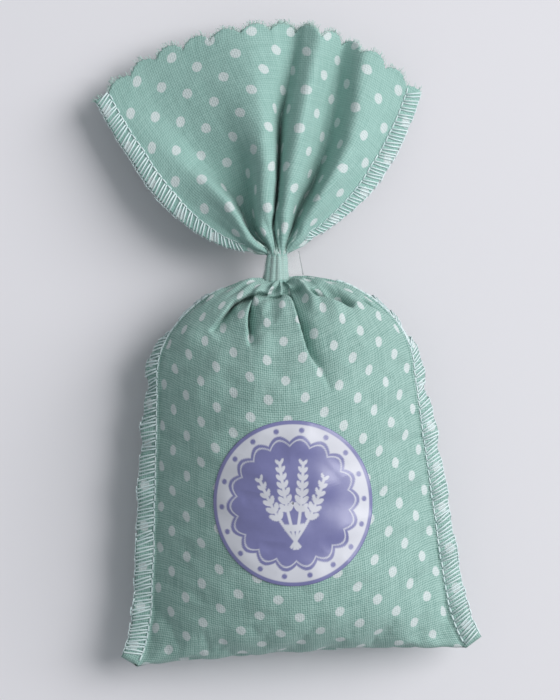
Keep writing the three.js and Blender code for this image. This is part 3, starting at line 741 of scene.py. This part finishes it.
def spray(root, tip, bend, buds):
    """Ink of one lavender stalk: a thin bent stem, and buds in pairs up its upper part."""
    way = np.subtract(tip, root)
    length = np.hypot(*way)
    way = way / length
    along = ((x - root[0]) * way[0] + (y - root[1]) * way[1]) / length
    across = (y - root[1]) * way[0] - (x - root[0]) * way[1] - bend * np.sin(np.pi * np.clip(along, 0, 1))
    ink = ease(0.34 - np.abs(across), -0.12, 0.12) * (along > 0) * (along < 0.97)
    for up in np.arange(buds) / (buds - 1):
        size = 1.0 - 0.4 * up
        dx = (along - 0.46 - 0.5 * up) * length - 0.25 * size
        for turn in (-0.6, 0.6):
            dy = across - math.copysign(0.85, turn) * size
            a = (dx * math.cos(turn) + dy * math.sin(turn)) / (1.25 * size)
            b = (-dx * math.sin(turn) + dy * math.cos(turn)) / (0.62 * size)
            ink = np.maximum(ink, ease(1.12 - np.hypot(a, b), 0.0, 0.26))
    return ink


# The print: a purple ground with a spray of lavender in white, inside a thin white line and a
# scalloped white border with a purple dot in each scallop and a thin purple rim.
far, around = np.hypot(x, y), np.arctan2(x, y)
beat = np.abs(np.sin(around * SCALLOPS / 2))
border = ease(far - (14.2 + 1.5 * beat), -SOFT, SOFT) * ease(18.1 - far, -SOFT, SOFT)
beads_at = (np.round(around / (math.tau / SCALLOPS) - 0.5) + 0.5) * math.tau / SCALLOPS
from_bead = np.hypot(x - 16.85 * np.sin(beads_at), y - 16.85 * np.cos(beads_at))
border = border * (1 - ease(0.62 - from_bead, -SOFT, SOFT))
inner_line = ease(0.16 - np.abs(far - (13.2 + 1.5 * beat)), -0.12, 0.12)
tie = ease(0.75 - np.abs(y + 5.6 - 0.05 * x * x), -SOFT, SOFT) * ease(2.3 - np.abs(x), -SOFT, SOFT)
white = np.maximum.reduce([border, inner_line, tie, *(spray(*stalk) for stalk in STALKS)])
white = np.concatenate([np.clip(white, 0, 1), np.ones(len(x))])

# Coated paper: smooth and slightly glossy, printed, with the cloth's weave faintly pressed in.
paper, tree, shader = new_material("coated_label_paper", in_Roughness=0.42, in_IOR=1.5)
ink = node(tree, "Attribute", attribute_name="white_print").outputs["Fac"]
place = node(tree, "TexCoord").outputs["Object"]
mottle = node(tree, "TexNoise", {"Vector": place}, in_Scale=700.0, in_Detail=3.0)
ground = node(
    tree, "Mix", {"Factor": mottle}, data_type="RGBA", in_6=linear("#646595"), in_7=linear("#6d6e9f")
)
printed = node(
    tree, "Mix", {"Factor": ink, 6: ground.outputs[2]}, data_type="RGBA", in_7=linear("#cfcfd8")
)
tree.links.new(printed.outputs[2], shader.inputs["Base Color"])
pressed = node(tree, "TexNoise", {"Vector": place}, in_Scale=900.0, in_Detail=2.0)
bump = node(tree, "Bump", {"Height": pressed}, in_Strength=0.12, in_Distance=0.1 * MM)
tree.links.new(bump.outputs[0], shader.inputs["Normal"])
gloss = node(tree, "MapRange", {"Value": ink}, in_3=0.95, in_4=0.25)  # purple ink shines more
tree.links.new(gloss.outputs[0], shader.inputs["Specular IOR Level"])

points = np.concatenate([label_top, label_top - [0, 0, LABEL_PAPER]])
label = mesh_object("round_label", points, top_faces + under_faces + edge_faces, [paper])
print_layer = label.data.attributes.new("white_print", "FLOAT", "POINT")
print_layer.data.foreach_set("value", white.astype(np.float32))
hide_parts("label")
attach(label, "pouch")

# Neck: the pouch's cloth, gathered into a tight fluted bundle between the pouch and the ruffle,
# narrower towards the ruffle. The tape is pulled round it.
NECK_FLUTES = 9
NECK_SECTORS = 156
NECK_RADIUS = ([42.4, 43.8, 45, 47, 49, 50.2, 51.2, 52], [3.7, 3.35, 3.1, 2.85, 2.65, 2.5, 1.9, 1.0])
NECK_MIDDLE = ([43, 50], [-1.2, -0.4])
neck_y = np.concatenate([[42.4, 43.2], np.linspace(44.0, 52.0, 23)])
neck_radius, neck_middle = np.interp(neck_y, *NECK_RADIUS), np.interp(neck_y, *NECK_MIDDLE)
turn = np.arange(NECK_SECTORS) * math.tau / NECK_SECTORS
rings = []
for y, wide, middle in zip(neck_y, neck_radius, neck_middle):
    lean = 0.05 * (y - 48)
    phase = NECK_FLUTES * turn / 2 + 0.5 * np.sin(2 * turn + 0.7) + 0.3 * np.sin(3 * turn + lean) + lean
    fluted = wide * (0.86 + 0.17 * np.abs(np.sin(phase)) ** 0.7 + 0.025 * np.sin(5 * turn + 0.4 * y))
    across, height = middle + fluted * np.sin(turn), NECK_HEIGHT + fluted * np.cos(turn)
    rings.append(np.stack([across, np.full_like(turn, y), height], axis=1))
faces = [face[::-1] for face in tube(len(neck_y), NECK_SECTORS)]
from_front = (turn + math.pi) % math.tau - math.pi
neck_uv = np.stack(np.meshgrid(from_front * 2.8 + DOT_PITCH / 2, neck_y - 47.2 + 12 * DOT_PITCH), axis=2)
neck = mesh_object("gathered_neck", np.concatenate(rings), faces, [cotton], uv=neck_uv.reshape(-1, 2))
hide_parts("neck_gather")
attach(neck, "neck")

# Tape: one turn of clear film pulled tight round the neck. Its two ends are stuck face to face
# and stand out to the right as a short tab.
TAPE_FROM, TAPE_TO = 44.5, 50.3
TAPE_SECTORS = 72
FILM = 0.1
TAB_ROOT, TAB_MIDDLE = 2.2, 48.4  # x of the tab's root and y of its middle


# Clear polypropylene film: thin, see-through and glossy. Its cut end is coloured a nearly opaque
# grey, painted shade for the light bent at the film's edge, and shows as a grey line.
def film_material(name, tint, cover, roughness):
    return new_material(
        name, in_Base_Color=linear(tint), in_IOR=1.49, in_Roughness=roughness, in_Alpha=cover
    )[0]


film = film_material("clear_film", "#eef2f1", 0.08, 0.25)
# Painted shade: the cut end's nearly opaque grey stands in for light bent at the film's edge.
film_edge_shade = film_material("clear_film_cut_end", "#868f90", 0.8, 0.35)


def shell(middle, outward, closed):
    """Points and faces of a thin closed shell over rows of points, along given outward ways."""
    points = np.concatenate([(middle + face * outward * FILM / 2).reshape(-1, 3) for face in (1, -1)])
    over = np.arange(middle[..., 0].size).reshape(middle.shape[:2])
    under = over + over.size
    faces = [quads(over, closed)[:, ::-1], quads(under, closed)]
    edges = [(over[0], under[0], 1), (over[-1], under[-1], -1)]
    if not closed:
        edges += [(over[:, 0], under[:, 0], -1), (over[:, -1], under[:, -1], 1)]
    for upper, lower, way in edges:
        faces.append(quads(np.stack([upper, lower]), closed)[:, ::way])
    return points, np.concatenate(faces)


turn = np.arange(TAPE_SECTORS) * math.tau / TAPE_SECTORS
outward = np.stack([np.sin(turn), np.zeros_like(turn), np.cos(turn)], axis=1)
rings = []
for y in np.linspace(TAPE_FROM, TAPE_TO, 12):
    wide = np.interp(y, neck_y, neck_radius) * 1.07 + 0.06 + 0.03 * np.sin(7 * turn + 0.5 * y)
    rings.append(outward * wide[:, None] + [np.interp(y, neck_y, neck_middle), y, NECK_HEIGHT])
tape = mesh_object("clear_tape", *shell(np.array(rings), outward, True), [film])
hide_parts("neck_band")
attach(tape, "neck")

tab_x = np.concatenate([np.linspace(TAB_ROOT, 4.9, 11), [5.0, 5.2]])
x, y = np.meshgrid(tab_x, np.linspace(45.6, 51.2, 10))
lean = x - 0.13 * (y - TAB_MIDDLE) * (x - TAB_ROOT) / 3
curl = 0.25 * np.sin((x - TAB_ROOT) * 0.9) * (1 + 0.06 * (y - TAB_MIDDLE))
tab_rows = np.stack([lean, y, NECK_HEIGHT + curl], axis=2)
tab = mesh_object("tape_tab", *shell(tab_rows, np.array([0.0, 0.0, 1.0]), False), [film, film_edge_shade])
for polygon in tab.data.polygons:  # the last strip is the cut end
    polygon.material_index = int(min(i % len(tab_x) for i in polygon.vertices) >= len(tab_x) - 2)
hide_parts("band_tab")
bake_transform(tab)

# Ruffle: the upper end of the same cloth, a front and a back leaf joined by the side seams. It
# fans out from the neck in deep pleats, droops to its corners and ends in a pinked edge.
RUFFLE_ROOT = (0.0, 51.0, NECK_HEIGHT)
LEAF_FLAT_WIDTH = 86.0
LEAF_THICKNESS = 0.4
LEAF_APART = 0.48  # outer face of a leaf, from the middle between the two
TOOTH_PITCH = 6.6
TOOTH_DEPTH = 1.8
LEAF_COLUMNS, LEAF_ROWS = 240, 96
LEFT_REACH = [3, 5.5, 9, 12.5, 16.8, 23.4, 28.5, 40]
# Where each edge, ridge and valley runs: distance from the root, angle from straight up (left is
# below zero), and height as a share of the pleat depth.
PLEATS = [
    ([3.5, 6.5, 12, 20, 29, 40, 55], [-100, -84, -80.5, -72.3, -63.7, -54.6, -47], [0] * 7),
    (LEFT_REACH, [-76, -68, -55, -46.5, -42, -43, -45, -46], [0.9, 0.95, 1, 0.95, 0.8, 0.45, 0.2, 0.05]),
    (LEFT_REACH, [-60, -58, -49, -40, -35, -34, -35.5, -35], [-0.9, -1, -1.1, -1.1, -1, -0.8, -0.6, -0.4]),
    (LEFT_REACH, [-47, -45, -37, -28, -21, -18.5, -21, -22], [-0.9, -1, -1.1, -1.1, -0.9, -0.5, -0.15, 0.1]),
    ([4, 6, 10.6, 15.6, 20.7, 25, 32, 45, 52], [-31, -29, -16.7, -10.2, -5.6, -5, -4.5, -5, -6],
     [1, 1, 1.15, 1.25, 1.25, 1.2, 1.1, 1, 1]),
    ([4, 6, 10, 17, 23.7, 30.8, 36, 45, 52], [-21, -19, -7, -1.5, -0.6, -0.8, -0.5, 1, 1],
     [0.8, 0.8, 0.9, 0.95, 0.9, 0.8, 0.6, 0.4, 0.35]),
    ([3, 4.8, 9, 13.5, 20, 32, 37, 47], [-14.6, -12.5, -2.2, 2, 3.4, 4.2, 6, 7.5],
     [-1.2, -1.3, -1.3, -1.3, -1.3, -1.25, -1.1, -0.9]),
    ([3, 5, 10, 11.8, 22, 30.8, 40, 50], [2, 1, 3.5, 5.8, 7.2, 8.4, 10, 10.8],
     [0.5, 0.5, 0.5, 0.5, 0.5, 0.4, 0.3, 0.3]),
    ([3.2, 5, 10, 15, 24, 32, 42, 50], [15, 13, 11, 11.4, 13.6, 13.4, 13.6, 14],
     [1, 1, 1.1, 1.15, 1.15, 1.1, 1, 1]),
    ([3, 5, 9, 15, 17.7, 25, 35, 50], [27, 22, 17.5, 17, 18.5, 18.2, 17.2, 16.5],
     [0.7, 0.7, 0.8, 0.8, 0.75, 0.6, 0.3, 0.3]),
    ([3, 5.2, 11, 17, 26, 36.6, 48.4], [38, 33, 28, 29.5, 27.5, 23.5, 20.5],
     [-1, -1.1, -1.2, -1.25, -1.2, -1.2, -1.2]),
    ([3, 4.4, 9, 12, 18, 29.5, 35.7, 43.8, 50.5], [68, 62, 46, 43.5, 40, 37.3, 34.2, 29.8, 27.4],
     [0.8, 0.9, 0.95, 1, 1.05, 1.1, 1.15, 1.25, 1.35]),
    ([2, 4.65, 8.5, 12, 15, 25, 33, 39, 51], [105, 81, 68, 67, 65, 59.9, 54.6, 50.9, 44.6], [0] * 9),
]
# Depth of the pleats by distance from the root, and that distance at the pinked edge, left to right.
PLEAT_DEPTH = ([2, 4, 8, 14, 22, 32, 42, 53], [0.9, 1.9, 3.0, 3.9, 4.3, 3.6, 2.8, 2.0])
RIM = (
    [0, 0.12, 0.2, 0.3, 0.4, 0.5, 0.62, 0.75, 0.87, 1],
    [56.4, 56.4, 56.0, 54.9, 54.4, 54.6, 54.4, 53.7, 52.4, 51.4],
)
RIM_DROOP = 6  # of the middle of the pinked edge below the neck
LEFT_CORNER_DROOP, RIGHT_CORNER_DROOP = -0.5, 6.0  # further, at the corners


def pleat_line(far):
    """The leaf's middle surface at one distance from the root, as 1200 points from left to right."""
    angles = np.array([np.interp(far, reach, angle) for reach, angle, _ in PLEATS])
    heights = np.array([np.interp(far, reach, share) for reach, _, share in PLEATS])
    # The sewn edges stay flat as far as the needle line.
    sewn = np.degrees(4.3 / far)
    seam_left = angles[0] + min(sewn, 0.45 * (angles[1] - angles[0]))
    seam_right = angles[-1] - min(sewn, 0.45 * (angles[-1] - angles[-2]))
    angles = np.concatenate([angles[:1], [seam_left], angles[1:-1], [seam_right], angles[-1:]])
    heights = np.concatenate([heights[:1], [0.06], heights[1:-1], [0.06], heights[-1:]])
    angles = np.maximum.accumulate(angles + np.arange(len(angles)) * 1e-3)
    angle = np.interp(np.linspace(0, len(angles) - 1, 1200), np.arange(len(angles)), angles)
    z = smooth_through(angles, heights, angle) * np.interp(far, *PLEAT_DEPTH)
    angle = np.radians(angle)
    corner = np.where(angle < 0, LEFT_CORNER_DROOP, RIGHT_CORNER_DROOP) * (angle / math.radians(46)) ** 2
    droop = np.clip((far - 3) / 50.5, 0, 1.1) ** 1.25 * (RIM_DROOP + corner)
    return np.stack([far * np.sin(angle), far * np.cos(angle), z - droop], axis=1) + RUFFLE_ROOT


reaches = np.linspace(0.4, 60, 160)
pleated = np.array([equal_steps(pleat_line(far), LEAF_COLUMNS + 1) for far in reaches])
leaf_share = np.linspace(0, 1, LEAF_COLUMNS + 1)
leaf_u = (leaf_share - 0.5) * LEAF_FLAT_WIDTH
fine_depth = np.interp(reaches, [2, 5, 10, 18, 26], [0.15, 0.3, 0.35, 0.2, 0.0])[:, None]
fine_folds = np.cos(math.tau * (leaf_u / 5.2 + 0.3 * np.sin(leaf_u / 7)))[None, :]
pleated[..., 2] += fine_depth * fine_folds * ease(np.minimum(leaf_share, 1 - leaf_share), 0.04, 0.1)


def leaf_points(face, more):
    """Outer surface of the front (1) or back (-1) leaf, from the neck to its toothed rim."""
    tooth = leaf_u / TOOTH_PITCH + 0.1
    uneven = np.sin(np.floor(tooth) * 12.9 + face) % 1  # each tooth is cut a little differently
    notch = 1 - np.abs(np.sin(np.pi * (tooth + 0.1 * (uneven - 0.5) * np.sin(math.tau * tooth)))) ** 0.8
    rim = np.interp(leaf_share, *RIM) - TOOTH_DEPTH * notch * (0.8 + 0.5 * uneven)
    rim = rim + more * np.sin(leaf_u / 9 + 1)
    rim += 0.12 * np.sin(leaf_u * 5.1 + face) + 0.1 * np.sin(leaf_u * 8.3)
    far = reaches[0] + (rim - reaches[0]) * np.linspace(0, 1, LEAF_ROWS + 1)[:, None]
    at = np.clip((far - reaches[0]) / (reaches[1] - reaches[0]), 0, len(reaches) - 1.001)
    low, column = at.astype(int), np.arange(LEAF_COLUMNS + 1)
    part = (at - low)[..., None]
    middle = pleated[low, column] * (1 - part) + pleated[low + 1, column] * part
    fan = middle + face * surface_normals(middle) * LEAF_APART
    # Its first rows lie round the front or back of the neck, inside the tape.
    turn = (leaf_share - 0.5) * math.pi
    ringed = (2.4 * np.sin(turn) - 0.35, 49.4 + 0.55 * far, NECK_HEIGHT + face * 2.4 * np.cos(turn))
    spread = ease(far, reaches[0], 6)[..., None]
    uv = np.stack([np.broadcast_to(leaf_u, far.shape), far + 110], axis=2)
    return np.stack(np.broadcast_arrays(*ringed), axis=2) * (1 - spread) + fan * spread, uv, far


def leaf(name, replaced, face, more):
    points, uv, far = leaf_points(face, more)
    faces = quads(np.arange(far.size).reshape(far.shape))[:, ::face]
    piece = mesh_object(name, points.reshape(-1, 3), faces, [cotton, cotton_inside], uv=uv.reshape(-1, 2))
    thick = piece.modifiers.new("cloth_thickness", "SOLIDIFY")
    thick.thickness = LEAF_THICKNESS * MM
    thick.offset = -1
    thick.material_offset = 1
    plain_mesh(piece)
    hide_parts(replaced)
    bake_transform(piece)
    return piece, points, far


# Geometry Nodes set one small shape on each point of a guide, turned and stretched to it.
copies_tree, given, copies_keys = new_tree(
    "copies_in_place", Guide="Geometry", Shape="Object", Finish="Material"
)
turns, stretches = [
    node(copies_tree, "GeometryNodeInputNamedAttribute", data_type="FLOAT_VECTOR", in_Name=name)
    for name in ("turn", "stretch")
]
turned = node(copies_tree, "FunctionNodeEulerToRotation", {0: turns})
set_copies(copies_tree, given, given["Guide"], {"Rotation": turned, "Scale": stretches})


def place_copies(name, spots, turns, stretches, shape, finish):
    """A piece made of copies of one shape, one on each spot."""
    piece = mesh_object(name, spots, [])
    for key, values in (("turn", turns), ("stretch", stretches)):
        layer = piece.data.attributes.new(key, "FLOAT_VECTOR", "POINT")
        layer.data.foreach_set("vector", np.array(values, np.float32).ravel())
    return run_tree(piece, copies_tree, copies_keys, Shape=shape, Finish=finish)


def thread_tube(path, radius, sides):
    """Points and faces of a thread along a path."""
    path = np.array(path, float)
    way = unit(np.gradient(path, axis=0))
    up = np.where(np.abs(way[:, 2:3]) > 0.9, [[1.0, 0, 0]], [[0, 0, 1.0]])
    side = unit(np.cross(way, up))
    top = np.cross(side, way)
    turn = (np.arange(sides) * math.tau / sides)[None, :, None]
    points = path[:, None] + radius * (np.cos(turn) * side[:, None] + np.sin(turn) * top[:, None])
    return points.reshape(-1, 3), tube(len(path), sides)


# Cotton fibres: the ends of cut yarns, paler than the cloth, that stand out of the pinked edge.
FIBRES = 520  # along each leaf's edge
FIBRE_PATH = [(-0.3, 0, 0), (0.3, 0.06, 0.02), (0.7, 0.02, 0.1), (1.0, 0.2, 0.12)]
FIBRE_RADIUS = 0.055
fibre_cotton = new_material("cotton_fibres", in_Base_Color=linear("#b4cfc8"), in_Roughness=0.9)[0]
fibre = mesh_object("fibre", *thread_tube(FIBRE_PATH, FIBRE_RADIUS, 3))


def fray(name, leaf_grid, seed):
    """Fibres along the last row of a leaf, leaning outwards every way."""
    chance = np.random.default_rng(seed)
    column = chance.uniform(0, LEAF_COLUMNS - 1e-3, FIBRES)
    low, part = column.astype(int), (column % 1)[:, None]
    inner, rim = [leaf_grid[row, low] * (1 - part) + leaf_grid[row, low + 1] * part for row in (-3, -1)]
    outs = unit(unit(rim - inner) + chance.normal(0, 0.38, (FIBRES, 3)))
    turns = [Vector(out).to_track_quat("X", "Z").to_euler() for out in outs]
    sizes = np.repeat(chance.uniform(0.35, 1.25, FIBRES), 3)
    piece = place_copies(name, rim - [0, 0, LEAF_THICKNESS / 2], turns, sizes, fibre, fibre_cotton)
    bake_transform(piece)
    return piece


front_ruffle, front_leaf, leaf_reach = leaf("front_ruffle", "ruffle_front", 1, 0.0)
back_ruffle, back_leaf, _ = leaf("back_ruffle", "ruffle_back", -1, 0.7)
front_fray = fray("front_ruffle_fray", front_leaf, 5)
back_fray = fray("back_ruffle_fray", back_leaf, 6)
bpy.data.objects.remove(fibre)

# Overlock stitching: three threads sewn over the raw edges of both side seams, from the bottom
# corners to the ruffle's corners. The needle thread runs along the inside, one looper thread
# zigzags over each face, and both interlock along the edge.
STITCH = 1.8
STITCH_WIDTH = 4.0
STITCH_HALF = 0.46  # half of the cloth that a stitch goes round
THREAD_RADIUS = 0.2

# Spun polyester thread, pale aqua: matt, twisted, with slightly lighter and darker stretches.
thread, tree, shader = new_material("spun_polyester_thread", in_Roughness=0.7, in_Sheen_Weight=0.1)
place = node(tree, "TexCoord").outputs["Object"]
tone = node(tree, "TexNoise", {"Vector": place}, in_Scale=350.0, in_Detail=2.0)
dye = node(
    tree, "Mix", {"Factor": tone}, data_type="RGBA", in_6=linear("#bfd6d8"), in_7=linear("#e6f0f0")
)
tree.links.new(dye.outputs[2], shader.inputs["Base Color"])
twist = node(tree, "TexNoise", {"Vector": place}, in_Scale=5200.0, in_Detail=2.0)
bump = node(tree, "Bump", {"Height": twist}, in_Strength=0.4, in_Distance=0.1 * MM)
tree.links.new(bump.outputs[0], shader.inputs["Normal"])

# One stitch, with x along the seam, y from the needle line to the edge and z off the cloth. On each
# face two strands of a looper thread lean from the edge to the needle line. A chain of both runs
# along the edge, and the needle thread dips into the cloth between stitches.
high = STITCH_HALF + THREAD_RADIUS * 0.8
edge = STITCH_WIDTH + 0.2
paths = []
for z in (high, -high):
    for start, along in ((0.0, (0.98, 0.56, 0.16, 0.06)), (0.15, (1.28, 1.02, 0.66, 0.56))):
        off = ((start, z), (0.5 * STITCH_WIDTH, z), (STITCH_WIDTH, z * 0.9), (edge, 0))
        paths.append([(share * STITCH, *spot) for share, spot in zip(along, off)])
paths.append([(-0.1, edge, 0.12), (0.5 * STITCH, edge + 0.1, 0.2), (STITCH + 0.1, edge, 0.12)])
paths.append([
    (0.06 * STITCH, 0, high - 0.45), (0.2 * STITCH, -0.05, high), (0.74 * STITCH, -0.05, high),
    (0.9 * STITCH, 0, high - 0.45),
])
points, faces = np.zeros((0, 3)), []
for path in paths:
    strand, strand_faces = thread_tube(path, THREAD_RADIUS, 4)
    faces += [face + len(points) for face in strand_faces]
    points = np.concatenate([points, strand])
stitch = mesh_object("stitch", points, faces)


def sew(name, line, out, normal, width, replaced):
    """Sews stitches along a seam: its needle line, the way out to the edge, the normal of the
    cloth's face, and the width from needle line to edge."""
    run = run_of(line)
    stitches = int(run[-1] // STITCH)
    step = run[-1] / stitches
    at = np.arange(stitches) * step
    spots, ends = at_distances(line, at), at_distances(line, at + step)
    halfway = at + step / 2
    outs, ups = [
        np.stack([np.interp(halfway, run, ways[:, i]) for i in range(3)], axis=1) for ways in (out, normal)
    ]
    wide = np.interp(halfway, run, width)
    hand = np.sign(np.einsum("ij,ij->i", np.cross(unit(ends - spots), unit(outs)), ups))
    flip = hand.mean() < 0  # seen from above, the seam runs the other way
    chance = np.random.default_rng(stitches)  # no two stitches are quite alike
    turns, stretches = [], []
    for k in range(stitches):
        along = unit(ends[k] - spots[k]) * (-1 if flip else 1)
        aside = unit(outs[k] - along * (outs[k] @ along))
        along = unit(along + aside * chance.normal(0, 0.05))
        aside = unit(aside - along * (aside @ along))
        up = np.cross(along, aside)
        turns.append(Matrix(np.stack([along, aside, up], axis=1).tolist()).to_euler())
        longer, wider = chance.normal(1, (0.06, 0.03))
        step_share = np.linalg.norm(ends[k] - spots[k]) / STITCH
        stretches.append((step_share * longer, wide[k] / STITCH_WIDTH * wider, 1.0))
    piece = place_copies(name, ends if flip else spots, turns, stretches, stitch, thread)
    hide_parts(*[f"{replaced}_{kind}_thread" for kind in ("needle", "upper_looper", "lower_looper")])
    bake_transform(piece)
    return piece


pouch_rows = slice(2, np.searchsorted(v, v[-1] - 13.7))
leaf_rows = slice(13, None)
middle = (front_leaf + back_leaf) / 2
for side, hand in ((-1, "left"), (1, "right")):
    line, out, normal, width = [part[pouch_rows] for part in seams[side]]
    sew(
        f"pouch_{hand}_overlock", line + out * 0.35, out, normal, np.maximum(width - 0.45, 0.4),
        f"pouch_{hand}",
    )
    inwards = middle[:, ::-side]
    edge = inwards[:, 0]
    depths = np.minimum(STITCH_WIDTH + 0.1, 0.6 + 0.115 * leaf_reach[:, ::-side][:, 0])
    inside = np.array([at_distances(row, [depth])[0] for row, depth in zip(inwards, depths)])
    normal = unit(np.cross(np.gradient(inside, axis=0), edge - inside) * side)
    normal = normal * np.sign(normal[:, 2:3])
    width = np.linalg.norm(edge - inside, axis=1)
    sew(
        f"ruffle_{hand}_overlock", inside[leaf_rows], unit(edge - inside)[leaf_rows], normal[leaf_rows],
        width[leaf_rows], f"ruffle_{hand}",
    )
bpy.data.objects.remove(stitch)
